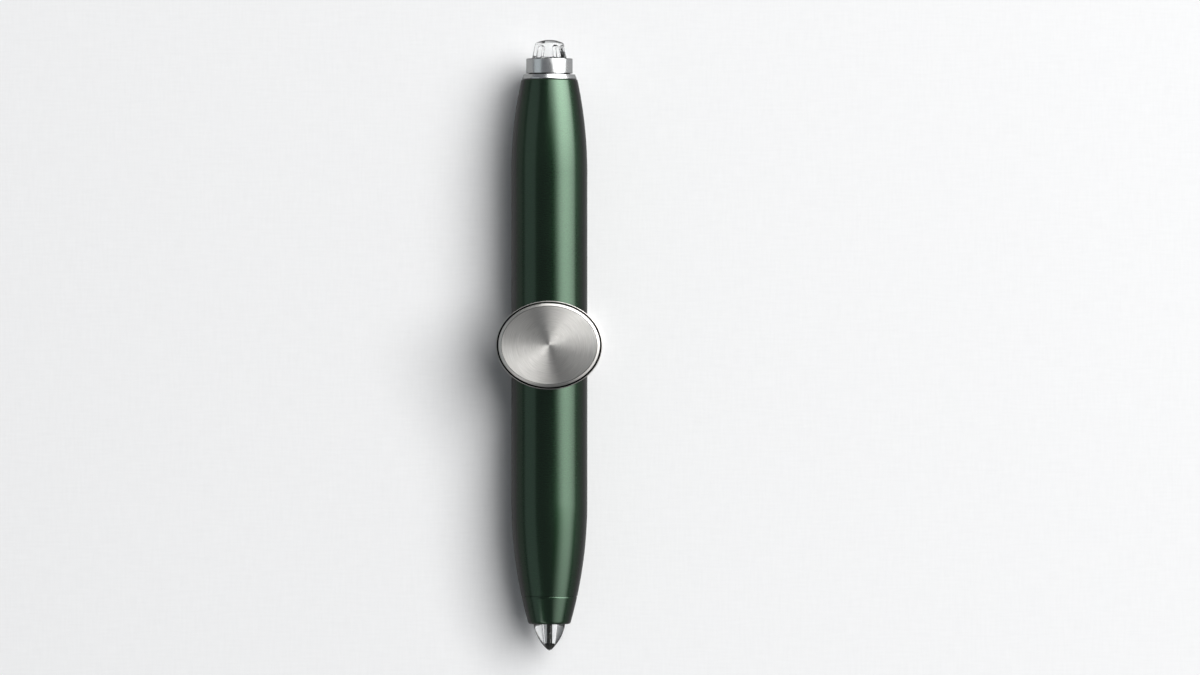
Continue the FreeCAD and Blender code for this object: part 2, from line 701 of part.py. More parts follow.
def writing_point():
    """Metal needle that ends in a small cone with a socket for the ball."""
    socket = Part.makeSphere(WRITING_BALL_R + BALL_SEAT_GAP, writing_ball_centre())
    needle = turned([
        (POINT_BORE_R, NEEDLE_REAR_U),
        (NEEDLE_R, NEEDLE_REAR_U),
        (NEEDLE_R, POINT_SHOULDER_U + 0.12),
        (POINT_SHOULDER_R, POINT_SHOULDER_U),
        (POINT_MOUTH_R, POINT_MOUTH_U),
        (POINT_BORE_R, POINT_MOUTH_U),
    ])
    return needle.cut(socket)


def writing_ball_centre():
    return Vector(0, POINT_END_U + WRITING_BALL_R, AXIS_Z)


def writing_ball():
    return Part.makeSphere(WRITING_BALL_R, writing_ball_centre())


def tail_plug():
    """Vented plug in the tube's rear end, with a boss that centres the spring."""
    plug_r = TUBE_INNER_R - INK_GAP
    flange_u = TUBE_REAR_U + 0.4
    return turned([
        (TAIL_VENT_R, TAIL_PLUG_U),
        (plug_r, TAIL_PLUG_U),
        (plug_r, TUBE_REAR_U),
        (TUBE_R, TUBE_REAR_U),
        (TUBE_R, flange_u),
        (TAIL_BOSS_R, flange_u),
        (TAIL_BOSS_R, TAIL_BOSS_U),
        (TAIL_VENT_R, TAIL_BOSS_U),
    ])


def refill_spring():
    return coil(REFILL_SPRING_R, REFILL_SPRING_WIRE_R, TUBE_REAR_U + 0.4, REFILL_BORE_END_U, 4)


def sub_parts():
    """Every node of the pen, by name."""
    nodes = {
        "barrel_tube": barrel_tube(),
        "bearing_outer_ring": bearing_outer_ring(),
        "bearing_inner_ring": bearing_inner_ring(),
        "bearing_front_shield": bearing_shield(1),
        "bearing_back_shield": bearing_shield(-1),
        "bearing_balls": bearing_balls(),
        "bearing_cage": bearing_cage(),
        "front_pad": front_pad(),
        "back_pad": back_pad(),
        "light_collar": light_collar(),
        "lens_button": lens_button(),
        "led": led(),
        "led_legs": led_legs(),
        "led_carrier": led_carrier(),
        "switch_actuator": switch_actuator(),
        "button_spring": button_spring(),
        "switch_body": switch_body(),
        "plus_contact": plus_contact(),
        "cell_sleeve": cell_sleeve(),
        "contact_spring": contact_spring(),
        "nose_ring": nose_ring(),
        "nose_cone": nose_cone(),
        "refill_tube": refill_tube(),
        "point_holder": point_holder(),
        "gel_ink": gel_ink(),
        "ink_follower": ink_follower(),
        "writing_point": writing_point(),
        "writing_ball": writing_ball(),
        "tail_plug": tail_plug(),
        "refill_spring": refill_spring(),
    }
    for index in range(CELL_COUNT):
        nodes[f"button_cell_{index + 1}"] = button_cell(index)
    return nodes


def main():
    os.makedirs("parts", exist_ok=True)
    for name, shape in sub_parts().items():
        if not shape.isValid() or shape.Volume <= 0:
            print("check this shape:", name, shape.isValid(), shape.Volume)
        shape.exportStep(f"parts/{name}.step")
        print(f"{name}: {len(shape.Solids)} solid(s), {shape.Volume:.2f} mm3")


main()
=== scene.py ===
"""Looks for the spinner gel pen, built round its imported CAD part.

Everything is in metres in the part's own frame: +Z up along the spin axis, +Y to the light end,
and the pen's own axis parallel to Y at the height AXIS. "u" is the distance along the pen and
"r" the distance from its axis. Profiles are written in millimetres and scaled by MM.
"""

import json
import math

import bmesh
import bpy
from mathutils import Matrix, Vector

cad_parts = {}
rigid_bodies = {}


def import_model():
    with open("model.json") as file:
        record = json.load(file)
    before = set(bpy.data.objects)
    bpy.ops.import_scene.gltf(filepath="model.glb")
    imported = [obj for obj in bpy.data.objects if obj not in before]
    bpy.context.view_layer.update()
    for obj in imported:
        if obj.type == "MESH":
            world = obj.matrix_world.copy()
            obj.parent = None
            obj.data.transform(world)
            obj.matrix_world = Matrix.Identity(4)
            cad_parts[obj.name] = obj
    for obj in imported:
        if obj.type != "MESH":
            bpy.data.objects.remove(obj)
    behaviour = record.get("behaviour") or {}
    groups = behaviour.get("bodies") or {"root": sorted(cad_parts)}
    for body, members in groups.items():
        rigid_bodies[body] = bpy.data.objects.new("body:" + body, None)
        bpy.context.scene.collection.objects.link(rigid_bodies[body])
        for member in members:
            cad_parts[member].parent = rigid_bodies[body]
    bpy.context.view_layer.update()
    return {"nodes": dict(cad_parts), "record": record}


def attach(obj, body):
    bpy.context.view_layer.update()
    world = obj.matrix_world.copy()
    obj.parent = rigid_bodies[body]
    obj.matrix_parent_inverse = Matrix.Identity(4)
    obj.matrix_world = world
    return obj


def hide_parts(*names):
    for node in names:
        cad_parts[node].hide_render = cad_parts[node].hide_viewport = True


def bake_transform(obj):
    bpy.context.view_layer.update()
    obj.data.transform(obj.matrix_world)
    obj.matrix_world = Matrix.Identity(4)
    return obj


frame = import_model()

MM = 0.001
AXIS = 9.0                 # height of the pen's axis over the table
FINE = 256                 # segments round a large turned piece
ON_AXIS = 1e-6             # a smaller radius is a point on the axis

# Barrel
BARREL_R = 6.45
TAPER_ARC_R = 75.0
UPPER_TAPER = 29.35        # where each taper starts
LOWER_TAPER = -26.75
BARREL_TOP = 45.25
BARREL_EDGE = 0.25
SEAM = -42.65
SEAM_BREAK = 0.06          # broken edge of the barrel's end at the seam
CELL_BORE_R = 3.8
CELL_BORE_END = 16.5
REFILL_BORE_R = 3.1
REFILL_BORE_END = -13.5
FLAT_HEIGHT = 5.2          # flats under the pads, from the pen's axis
FLAT_R = 7.2
BEARING_R = 3.5
BEARING_LOW = -1.5
STUD_WELL_R = 3.1          # well under the bearing
STUD_WELL_TOP = 1.0        # below the pen's axis

# Threads
PITCH = 0.6
THREAD = 4.4               # length of each male thread
THREAD_CORE_R = 3.67
THREAD_DEPTH = 0.28
THREAD_ROWS = 14           # rows of faces in a turn
THREAD_CREST = 1.55        # over 1, so that the crest is flat
THREAD_FLANK = 3.6         # steepness of the flanks
THREAD_BORE_R = 4.0
THREAD_GAP = 0.05
RUN_IN = 0.5               # plain neck beside the shoulder

# Nose
NOSE_END = -47.4
NOSE_ROUND = 0.45
RING_BEVEL_IN = 0.116      # bevel of the green ring at the seam
RING_BEVEL_LONG = 0.2
NOSE_OPENING_R = 2.74
NOSE_BORE_R = 3.02
NOSE_LIP = -46.85
CONE_R = 2.7
CONE_FLANGE_R = 2.97
CONE_FLANGE = -46.8
CONE_REAR = -42.7
CONE_MIDDLE = (1.84, -49.85)
CONE_TIP = (0.36, -51.75)
CONE_SOCKET_R = 1.9
CAVITY_TOP = (1.05, -47.3)
CAVITY_END = (0.76, -50.55)
NEEDLE_R = 0.47
NEEDLE_REAR = -44.6
NEEDLE_FRONT = -50.5
POINT_SHOULDER = (0.7, -50.6)
POINT_MOUTH = (0.27, -51.6)
POINT_BORE_R = 0.2

# Pads, with heights from a pad's underside and insets from its outline
PAD_A = 9.0
PAD_B = 7.5
PAD_THICK = 2.2
PAD_UNDER = 6.8            # underside of a pad, from the pen's axis
FLANGE_TOP = 0.55
FLANGE_IN = 0.15
GROOVE_IN = 0.34
GROOVE_FLOOR = 0.2
GROOVE_LINE = 0.26         # painted shade line in the groove
BEVEL_START = (0.44, 1.96)
BEVEL_END = (0.84, 2.15)
FACE_LINE = 0.885          # painted shade line round the face
FACE_IN = 0.92

# Stud under each pad, with heights from the pen's axis
STUD_R = 2.9
STUD_FOOT = 5.45
STUD_NECK_R = 1.95
STUD_STEP = 1.5
STUD_PIN_R = 1.48
STUD_END = 0.05

# Collar
COLLAR_TOP = 48.7
COLLAR_R = 3.94
COLLAR_LOW = 46.2
COLLAR_NECK = 46.0
COLLAR_NECK_R = 3.55
COLLAR_BEVEL_R = 4.36
COLLAR_FOOT_R = 4.62
COLLAR_OPENING_R = 3.04
COLLAR_BORE_R = 3.25
COLLAR_LIP = 46.55

# Lens
LENS_BASE_R = 2.98
LENS_FLANGE_R = 3.2
LENS_FLANGE_LOW = 45.9
LENS_FLANGE_TOP = 46.5
LENS_SOCKET_R = 1.6
LENS_SOCKET_TOP = 48.3
LENS_SHOULDER_R = 2.46
LENS_SHOULDER = 51.15
LENS_EDGE_RISE = 0.23      # rounded edge between the fluted side and the crown
LENS_EDGE_IN = 0.20
LENS_CAP_R = 2.26
LENS_CAP = 51.38
LENS_TOP = 51.9
FLUTES = 6
FLUTE_R = 0.75
FLUTE_DEPTH = 0.6
FLUTE_END = 50.3           # centre of a flute's arched end
FLUTE_TURN = 24.5          # degrees from the top of the pen to the first flute
FLUTE_SOFTNESS = 0.008

# Button spring
SPRING_R = 1.75
SPRING_WIRE_R = 0.15
SPRING_LOW = 40.6
SPRING_HIGH = 42.9
SPRING_TURNS = 4
SPRING_ROWS = 32           # in a turn
SPRING_SIDES = 12          # round the wire

# Picture
LENS_FOCUS = 280
SENSOR = 36
VIEW_WIDTH = 204           # of the picture, at the pen's axis
VIEW_ACROSS = 8.6          # camera, in x
VIEW_ALONG = 1.3           # camera, in y
CARD_DISTANCE = 0.7        # metres
CARD_STEPS = 24


# ---------------------------------------------------------------- meshes

def rounded(corners, steps=6):
    """Polyline through (x, y) or (x, y, radius) corners, with an arc at each that has a radius."""
    line = []
    count = len(corners)
    for i, corner in enumerate(corners):
        here = Vector(corner[:2])
        radius = corner[2] if len(corner) > 2 else 0
        before = Vector(corners[i - 1][:2])
        after = Vector(corners[(i + 1) % count][:2])
        if not radius or i in (0, count - 1):
            line.append(tuple(here))
            continue
        a = (before - here).normalized()
        b = (after - here).normalized()
        half = a.angle(b) / 2
        cut = radius / math.tan(half)
        centre = here + (a + b).normalized() * (radius / math.sin(half))
        start = here + a * cut - centre
        end = here + b * cut - centre
        turn = start.angle_signed(end)
        for k in range(steps + 1):
            part = Matrix.Rotation(-turn * k / steps, 2) @ start
            line.append(tuple(centre + part))
    return line


def skin(rings, close=False):
    """bmesh through rings of points; a ring of one point ends the surface there."""
    mesh = bmesh.new()
    loops = [[mesh.verts.new(p) for p in ring] for ring in rings]
    pairs = list(zip(loops, loops[1:]))
    if close:
        pairs.append((loops[-1], loops[0]))
    for low, high in pairs:
        count = max(len(low), len(high))
        for j in range(count):
            k = (j + 1) % count
            corners = (low[j % len(low)], low[k % len(low)], high[k % len(high)], high[j % len(high)])
            corners = list(dict.fromkeys(corners))
            if len(corners) > 2:
                mesh.faces.new(corners)
    return mesh


def piece(name, *meshes, sharp=35):
    """Object from one or more bmeshes, shaded smooth but for edges sharper than sharp degrees."""
    data = bpy.data.meshes.new(name)
    whole = bmesh.new()
    for mesh in meshes:
        bmesh.ops.recalc_face_normals(mesh, faces=mesh.faces)
        part = bpy.data.meshes.new("part")
        mesh.to_mesh(part)
        mesh.free()
        whole.from_mesh(part)
        bpy.data.meshes.remove(part)
    whole.to_mesh(data)
    whole.free()
    data.shade_smooth()
    data.set_sharp_from_angle(angle=math.radians(sharp))
    thing = bpy.data.objects.new(name, data)
    bpy.context.scene.collection.objects.link(thing)
    return thing


def ring_about_pen(r, u, count=FINE):
    if r < ON_AXIS:
        return [(0, u * MM, AXIS * MM)]
    turns = (2 * math.pi * j / count for j in range(count))
    return [(r * math.sin(t) * MM, u * MM, (AXIS + r * math.cos(t)) * MM) for t in turns]


def turned(profile, count=FINE):
    """Closed solid turned about the pen's axis from a polyline of (r, u)."""
    rings = [ring_about_pen(r, u, count) for r, u in profile]
    on_axis = profile[0][0] < ON_AXIS and profile[-1][0] < ON_AXIS
    return skin(rings, close=not on_axis)


def turned_upright(profile, side, count=96):
    """Closed solid turned about the spin axis from (r, height from the pen's axis); side -1 is below."""
    rings = []
    for r, height in profile:
        z = (AXIS + side * height) * MM
        if r < ON_AXIS:
            rings.append([(0, 0, z)])
        else:
            turns = (2 * math.pi * j / count for j in range(count))
            rings.append([(r * math.cos(t) * MM, r * math.sin(t) * MM, z) for t in turns])
    on_axis = profile[0][0] < ON_AXIS and profile[-1][0] < ON_AXIS
    return skin(rings, close=not on_axis)


def taper(u):
    """Radius of the barrel's outside at u."""
    past = max(u - UPPER_TAPER, LOWER_TAPER - u, 0)
    return BARREL_R - TAPER_ARC_R + math.sqrt(TAPER_ARC_R ** 2 - past ** 2)


def taper_line(start, end, step=0.5):
    count = max(2, round(abs(end - start) / step))
    return [(taper(u), u) for u in (start + (end - start) * i / count for i in range(count + 1))]


def screw(core, depth, low, high, bore, count=128):
    """Sleeve with a right-hand thread outside, fading in over half a turn at each end."""
    rows = round((high - low) / PITCH * THREAD_ROWS)
    rings = [ring_about_pen(bore, high, count), ring_about_pen(bore, low, count)]
    for i in range(rows + 1):
        u = low + (high - low) * i / rows
        fade = min(1, (u - low) / (0.5 * PITCH), (high - u) / (0.5 * PITCH))
        ring = []
        for j in range(count):
            t = 2 * math.pi * j / count
            phase = (u / PITCH - j / count) % 1
            crest = min(1, max(0, THREAD_CREST - THREAD_FLANK * abs(phase - 0.5)))
            r = core + depth * crest * fade
            ring.append((r * math.sin(t) * MM, u * MM, (AXIS + r * math.cos(t)) * MM))
        rings.append(ring)
    return skin(rings, close=True)


def carve(thing, cutters):
    """Cuts the solids in cutters out of thing."""
    for mesh in cutters:
        cutter = piece("cutter", mesh)
        step = thing.modifiers.new("cut", "BOOLEAN")
        step.operation = "DIFFERENCE"
        step.solver = "EXACT"
        step.object = cutter
    bpy.context.view_layer.update()
    done = thing.evaluated_get(bpy.context.evaluated_depsgraph_get())
    data = bpy.data.meshes.new_from_object(done)
    thing.modifiers.clear()
    thing.data = data
    for cutter in [o for o in bpy.data.objects if o.name.startswith("cutter")]:
        bpy.data.objects.remove(cutter)


def true_normals(thing):
    """Gives the barrel's outside the normals of its exact curve, so that no facet shows in a highlight."""
    data = thing.data
    data.shade_smooth()
    data.set_sharp_from_angle(angle=math.radians(30))
    middle = Vector((0, 0, AXIS * MM))
    normals = [Vector() for _ in data.loops]
    for face in data.polygons:
        where = [data.vertices[v].co - middle for v in face.vertices]
        outside = all(abs(math.hypot(p.x, p.z) / MM - taper(p.y / MM)) < 2e-3 for p in where)
        if not outside or abs(face.normal.y) > 0.6:
            continue
        for loop in face.loop_indices:
            p = data.vertices[data.loops[loop].vertex_index].co - middle
            u = p.y / MM
            slope = (taper(u + 0.01) - taper(u - 0.01)) / 0.02
            normals[loop] = Vector((p.x, -slope * math.hypot(p.x, p.z), p.z)).normalized()
    data.normals_split_custom_set(normals)


def oval(inset, height, side, count=FINE):
    """One elliptical outline of a pad, drawn in by inset, at a height from the pad's underside."""
    z = (AXIS + side * (PAD_UNDER + height)) * MM
    a = (PAD_A - inset) * MM
    b = (PAD_B - inset) * MM
    turns = (2 * math.pi * j / count for j in range(count))
    return [(a * math.cos(t), b * math.sin(t), z) for t in turns]


# ---------------------------------------------------------------- materials

class Paint:
    """Short way to build a node material."""

    def __init__(self, name):
        self.material = bpy.data.materials.new(name)
        self.material.use_nodes = True
        self.tree = self.material.node_tree
        self.shader = self.tree.nodes["Principled BSDF"]
        self.place = self.add("ShaderNodeTexCoord").outputs["Object"]

    def add(self, kind, **settings):
        node = self.tree.nodes.new(kind)
        for key, value in settings.items():
            setattr(node, key, value)
        return node

    def link(self, output, socket):
        self.tree.links.new(output, socket)

    def set(self, **values):
        for key, value in values.items():
            self.shader.inputs[key.replace("_", " ")].default_value = value

    def sum(self, kind, a, b=None, c=None):
        """One Math node on numbers or sockets."""
        node = self.add("ShaderNodeMath", operation=kind)
        for socket, value in zip(node.inputs, (a, b, c)):
            if value is None:
                continue
            if isinstance(value, (int, float)):
                socket.default_value = value
            else:
                self.link(value, socket)
        return node.outputs[0]

    def stretched(self, scale, source=None):
        node = self.add("ShaderNodeVectorMath", operation="MULTIPLY")
        self.link(source or self.place, node.inputs[0])
        node.inputs[1].default_value = scale
        return node.outputs[0]

    def noise(self, scale, detail=2, source=None):
        """Noise from 0 to 1 whose grains are 1 / scale metres long on each axis."""
        node = self.add("ShaderNodeTexNoise")
        node.inputs["Scale"].default_value = 1
        node.inputs["Detail"].default_value = detail
        self.link(self.stretched(scale, source), node.inputs["Vector"])
        return node.outputs["Fac"]

    def grains(self, size):
        """A random number for each metallic flake of about that size in metres."""
        node = self.add("ShaderNodeTexVoronoi")
        node.inputs["Scale"].default_value = 1 / size
        self.link(self.place, node.inputs["Vector"])
        return node.outputs["Color"]

    def ramp(self, factor, *stops):
        node = self.add("ShaderNodeValToRGB")
        elements = node.color_ramp.elements
        while len(elements) < len(stops):
            elements.new(0.5)
        for element, (place, colour) in zip(elements, stops):
            element.position = place
            element.color = (*colour, 1)
        self.link(factor, node.inputs["Fac"])
        return node.outputs["Color"]

    def range(self, factor, low, high, from_low=0.3, from_high=0.7):
        node = self.add("ShaderNodeMapRange")
        self.link(factor, node.inputs["Value"])
        for socket, value in zip(node.inputs[1:5], (from_low, from_high, low, high)):
            socket.default_value = value
        return node.outputs["Result"]

    def bump(self, height, distance, strength=1.0):
        node = self.add("ShaderNodeBump")
        node.inputs["Distance"].default_value = distance
        node.inputs["Strength"].default_value = strength
        self.link(height, node.inputs["Height"])
        self.link(node.outputs["Normal"], self.shader.inputs["Normal"])

    def drive(self, **sockets):
        for key, output in sockets.items():
            self.link(output, self.shader.inputs[key.replace("_", " ")])


def grey(value):
    return (value, value, value)


def green_metal():
    """Satin anodised aluminium: dark green with fine metallic flakes and faint turning marks."""
    p = Paint("green_metal")
    p.set(Metallic=1.0, Specular_Tint=(0.0, 0.0, 0.0, 1))
    p.set(Coat_Weight=1.0, Coat_Roughness=0.17, Coat_IOR=1.5)
    cloud = p.noise((90, 45, 90), 3)
    flake = p.add("ShaderNodeSeparateColor")
    p.link(p.grains(0.00009), flake.inputs[0])
    mixed = p.sum("ADD", p.sum("MULTIPLY", cloud, 0.75), p.sum("MULTIPLY", flake.outputs[0], 0.25))
    p.drive(Base_Color=p.ramp(mixed, (0.3, (0.009, 0.038, 0.015)), (0.7, (0.018, 0.052, 0.024))))
    marks = p.noise((900, 26000, 900), 2)
    rough = p.sum("ADD", p.range(cloud, 0.0, 0.05), p.range(marks, 0.24, 0.28))
    p.drive(Roughness=rough)
    height = p.sum("ADD", p.sum("MULTIPLY", marks, 0.5), p.sum("MULTIPLY", flake.outputs[1], 0.5))
    p.bump(height, 0.0000008)
    return p.material


def rim_line(p, inset, half_width, depth):
    """Mask for painted shade on a pad: 1, falling to depth along a line that follows its outline at inset
    millimetres.
    """
    low = (PAD_A - inset) * MM
    wide = (PAD_B - inset) * MM
    flat = p.add("ShaderNodeVectorMath", operation="LENGTH")
    p.link(p.stretched((1 / low, 1 / wide, 0)), flat.inputs[0])
    away = p.sum("ABSOLUTE", p.sum("SUBTRACT", flat.outputs["Value"], 1.0))
    reach = half_width / PAD_A
    return p.range(away, depth, 1.0, 0.8 * reach, 1.3 * reach)


def turned_steel():
    """Steel brushed in circles about the spin axis, with a highlight drawn out across the grooves, and
    painted shade darkening the groove and a line round the face.
    """
    p = Paint("turned_steel")
    p.set(Metallic=1.0, Anisotropic=0.86)
    split = p.add("ShaderNodeSeparateXYZ")
    p.link(p.place, split.inputs[0])
    flat = p.add("ShaderNodeCombineXYZ")
    p.link(split.outputs["X"], flat.inputs["X"])
    p.link(split.outputs["Y"], flat.inputs["Y"])
    length = p.add("ShaderNodeVectorMath", operation="LENGTH")
    p.link(flat.outputs[0], length.inputs[0])
    outward = p.add("ShaderNodeVectorMath", operation="NORMALIZE")
    p.link(flat.outputs[0], outward.inputs[0])
    groove = p.add("ShaderNodeCombineXYZ")
    p.link(p.sum("MULTIPLY", length.outputs["Value"], 16000), groove.inputs["Z"])
    lay = p.add("ShaderNodeVectorMath", operation="MULTIPLY_ADD")
    p.link(outward.outputs[0], lay.inputs[0])
    lay.inputs[1].default_value = (2.2, 2.2, 0)
    p.link(groove.outputs[0], lay.inputs[2])
    brush = p.add("ShaderNodeTexNoise")
    brush.inputs["Scale"].default_value = 1
    brush.inputs["Detail"].default_value = 3
    p.link(lay.outputs[0], brush.inputs["Vector"])
    lines = brush.outputs["Fac"]
    # painted shade: the groove's line is painted black and the line round the face darker, where shade falls
    # in these recesses
    painted_shade = p.sum("MULTIPLY", rim_line(p, GROOVE_LINE, 0.14, 0.0), rim_line(p, FACE_LINE, 0.04, 0.2))
    shade = p.add("ShaderNodeVectorMath", operation="SCALE")
    steel = p.ramp(lines, (0.3, (0.515, 0.505, 0.48)), (0.7, (0.675, 0.66, 0.635)))
    p.link(steel, shade.inputs[0])
    p.link(painted_shade, shade.inputs["Scale"])
    p.drive(Base_Color=shade.outputs[0])
    p.drive(Roughness=p.range(lines, 0.30, 0.42))
    turn = p.add("ShaderNodeVectorTransform", vector_type="VECTOR")
    turn.convert_from = "OBJECT"
    turn.convert_to = "WORLD"
    p.link(outward.outputs[0], turn.inputs[0])
    p.drive(Tangent=turn.outputs[0])
    p.bump(lines, 0.000002, 0.6)
    return p.material


def bright_metal(name, low, high, rough, scale):
    """Polished or ground metal with fine handling marks."""
    p = Paint(name)
    p.set(Metallic=1.0)
    marks = p.noise(scale, 4)
    p.drive(Base_Color=p.ramp(marks, (0.3, low), (0.7, high)))
    smudge = p.noise((180, 120, 180), 2)
    wear = 0.05
    p.drive(Roughness=p.sum("ADD", p.range(marks, rough, rough + wear), p.range(smudge, 0, wear)))
    p.bump(marks, 0.0000015, 0.5)
    return p.material


def collar_chrome():
    """Satin chrome with fine marks, with painted shade in the neck over the foot and along the band's top
    edge.
    """
    p = Paint("collar_chrome")
    p.set(Metallic=1.0)
    marks = p.noise((1200, 9000, 1200), 4)
    along = p.add("ShaderNodeSeparateXYZ")
    p.link(p.place, along.inputs[0])
    # painted shade: the colour darkens in the recessed neck and along the band's rounded top edge
    middle = (COLLAR_NECK + COLLAR_LOW) / 2 * MM
    from_neck = p.sum("ABSOLUTE", p.sum("SUBTRACT", along.outputs["Y"], middle))
    neck = p.range(from_neck, 0.06, 1.0, 0.08 * MM, 0.16 * MM)
    edge = p.range(along.outputs["Y"], 1.0, 0.12, (COLLAR_TOP - 0.14) * MM, (COLLAR_TOP - 0.06) * MM)
    painted_shade = p.sum("MULTIPLY", neck, edge)
    shade = p.add("ShaderNodeVectorMath", operation="SCALE")
    p.link(p.ramp(marks, (0.3, (0.74, 0.75, 0.75)), (0.7, (0.81, 0.82, 0.82))), shade.inputs[0])
    p.link(painted_shade, shade.inputs["Scale"])
    p.drive(Base_Color=shade.outputs[0])
    smudge = p.noise((180, 120, 180), 2)
    p.drive(Roughness=p.sum("ADD", p.range(marks, 0.20, 0.23), p.range(smudge, 0, 0.03)))
    p.bump(marks, 0.0000015, 0.5)
    return p.material


def clear_plastic(name, tint, rough, edge_from=0.45, edge_to=0.85, bend=1.49):
    """Clear moulded plastic with faint flow lines and scuffs, its colour darkened towards its outline as
    painted shade; bend is its refractive index.
    """
    p = Paint(name)
    p.set(Transmission_Weight=1.0, IOR=bend)
    flow = p.noise((260, 90, 260), 2)
    body = p.ramp(flow, (0.3, tint), (0.7, tuple(min(1, c + 0.02) for c in tint)))
    # painted shade: the colour darkens where the surface turns away from view, from edge_from to edge_to
    edge = p.add("ShaderNodeLayerWeight")
    edge.inputs["Blend"].default_value = 0.5
    shade = p.add("ShaderNodeVectorMath", operation="SCALE")
    p.link(body, shade.inputs[0])
    p.link(p.range(edge.outputs["Facing"], 1.0, 0.4, edge_from, edge_to), shade.inputs["Scale"])
    p.drive(Base_Color=shade.outputs[0])
    scuff = p.noise((2600, 700, 2600), 3)
    p.drive(Roughness=p.range(scuff, rough, rough + 0.02, 0.5, 0.8))
    p.bump(flow, 0.00002, 0.08)
    return p.material


def moulded(name, low, high, rough, grain=0.00025):
    """Opaque moulded plastic with a fine texture."""
    p = Paint(name)
    tone = p.noise((400, 400, 400), 3)
    p.drive(Base_Color=p.ramp(tone, (0.3, low), (0.7, high)))
    fine = p.noise((1 / grain,) * 3, 2)
    p.drive(Roughness=p.range(fine, rough, rough + 0.12))
    p.bump(fine, 0.000008, 0.4)
    return p.material


def paper():
    """Pale table covering with a faint linen grain."""
    p = Paint("paper")
    p.set(Roughness=0.85, Specular_IOR_Level=0.15)
    threads = p.sum("ADD", p.noise((2600, 260, 1), 2), p.noise((260, 2600, 1), 2))
    p.drive(Base_Color=p.ramp(p.sum("MULTIPLY", threads, 0.5), (0.3, grey(0.86)), (0.7, grey(0.895))))
    p.bump(threads, 0.00003, 0.25)
    return p.material


FINISHES = {
    "green_aluminium": green_metal(),
    "pad_steel": turned_steel(),
    "bearing_steel": bright_metal("bearing_steel", (0.50, 0.51, 0.52), (0.62, 0.62, 0.62), 0.18,
                                  (3000, 3000, 900)),
    "cage_nylon": moulded("cage_nylon", (0.60, 0.53, 0.36), (0.68, 0.60, 0.42), 0.5),
    "collar_chrome": collar_chrome(),
    "clear_acrylic": clear_plastic("clear_acrylic", (0.96, 0.97, 0.97), 0.0,
                                   edge_from=0.55, edge_to=0.95, bend=1.30),
    "led_resin": clear_plastic("led_resin", (0.93, 0.95, 0.97), 0.05),
    "tinned_wire": bright_metal("tinned_wire", (0.52, 0.52, 0.50), (0.66, 0.66, 0.64), 0.3,
                                (5000, 800, 5000)),
    "white_plastic": moulded("white_plastic", (0.74, 0.74, 0.72), (0.80, 0.80, 0.78), 0.42),
    "black_plastic": moulded("black_plastic", (0.012, 0.012, 0.013), (0.022, 0.022, 0.023), 0.40),
    "contact_brass": bright_metal("contact_brass", (0.62, 0.43, 0.16), (0.74, 0.54, 0.23), 0.22,
                                  (2500, 2500, 2500)),
    "spring_steel": bright_metal("spring_steel", (0.40, 0.40, 0.40), (0.54, 0.54, 0.53), 0.2,
                                 (4000, 4000, 4000)),
    "cell_nickel": bright_metal("cell_nickel", (0.52, 0.52, 0.50), (0.66, 0.66, 0.64), 0.15,
                                (900, 6000, 900)),
    "clear_tube": clear_plastic("clear_tube", (0.90, 0.91, 0.91), 0.04),
    "black_ink": moulded("black_ink", (0.003, 0.003, 0.004), (0.008, 0.008, 0.010), 0.1),
    "follower_gel": moulded("follower_gel", (0.55, 0.47, 0.22), (0.65, 0.57, 0.30), 0.12),
    "dark_steel": bright_metal("dark_steel", (0.018, 0.018, 0.017), (0.042, 0.042, 0.039), 0.45,
                               (1500, 9000, 1500)),
    "ball_carbide": bright_metal("ball_carbide", (0.40, 0.40, 0.41), (0.50, 0.50, 0.51), 0.12,
                                 (9000, 9000, 9000)),
}


def dress(thing, finish, body, *nodes, paint=None):
    """Gives a built piece its finish, its CAD body and the nodes that it stands for."""
    thing.data.materials.clear()
    thing.data.materials.append(paint or FINISHES[finish])
    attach(thing, body)
    if nodes:
        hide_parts(*nodes)
    return thing


# ---------------------------------------------------------------- the pen

def cut_disc(r, start, side, count):
    """Upright disc from a height on one side of the pen's axis to clear of the barrel."""
    reach = BARREL_R + 1
    return turned_upright([(0, start), (r, start), (r, reach), (0, reach)], side, count)


def build_barrel():
    edge = BARREL_EDGE
    seam_r = taper(SEAM)
    top_r = taper(BARREL_TOP)
    outside = [(seam_r - SEAM_BREAK, SEAM), (seam_r - SEAM_BREAK / 2, SEAM + 0.01)]
    outside += taper_line(SEAM + 0.04, LOWER_TAPER)
    outside += [(BARREL_R, u) for u in range(-25, 29, 3)]
    outside += taper_line(UPPER_TAPER, BARREL_TOP - edge)
    outside += [(top_r - edge * (1 - math.cos(a)) - 0.02, BARREL_TOP - edge * (1 - math.sin(a)))
                for a in (0.4, 0.8, 1.2, math.pi / 2)]
    deep = BARREL_TOP - THREAD - THREAD_GAP
    cell_bore = [(THREAD_BORE_R, BARREL_TOP), (THREAD_BORE_R, deep), (CELL_BORE_R, deep),
                 (CELL_BORE_R, CELL_BORE_END), (0, CELL_BORE_END)]
    step = SEAM + THREAD + THREAD_GAP
    refill_bore = [(0, REFILL_BORE_END), (REFILL_BORE_R, REFILL_BORE_END), (REFILL_BORE_R, step),
                   (THREAD_BORE_R, step), (THREAD_BORE_R, SEAM)]
    barrel = piece("barrel_skin", turned(refill_bore + outside + cell_bore))
    cuts = [cut_disc(FLAT_R, FLAT_HEIGHT, side=1, count=192),
            cut_disc(FLAT_R, FLAT_HEIGHT, side=-1, count=192),
            cut_disc(BEARING_R, BEARING_LOW, side=1, count=128),
            cut_disc(STUD_WELL_R, STUD_WELL_TOP, side=-1, count=128)]
    carve(barrel, cuts)
    true_normals(barrel)
    return dress(barrel, "green_aluminium", "barrel", "barrel_tube")


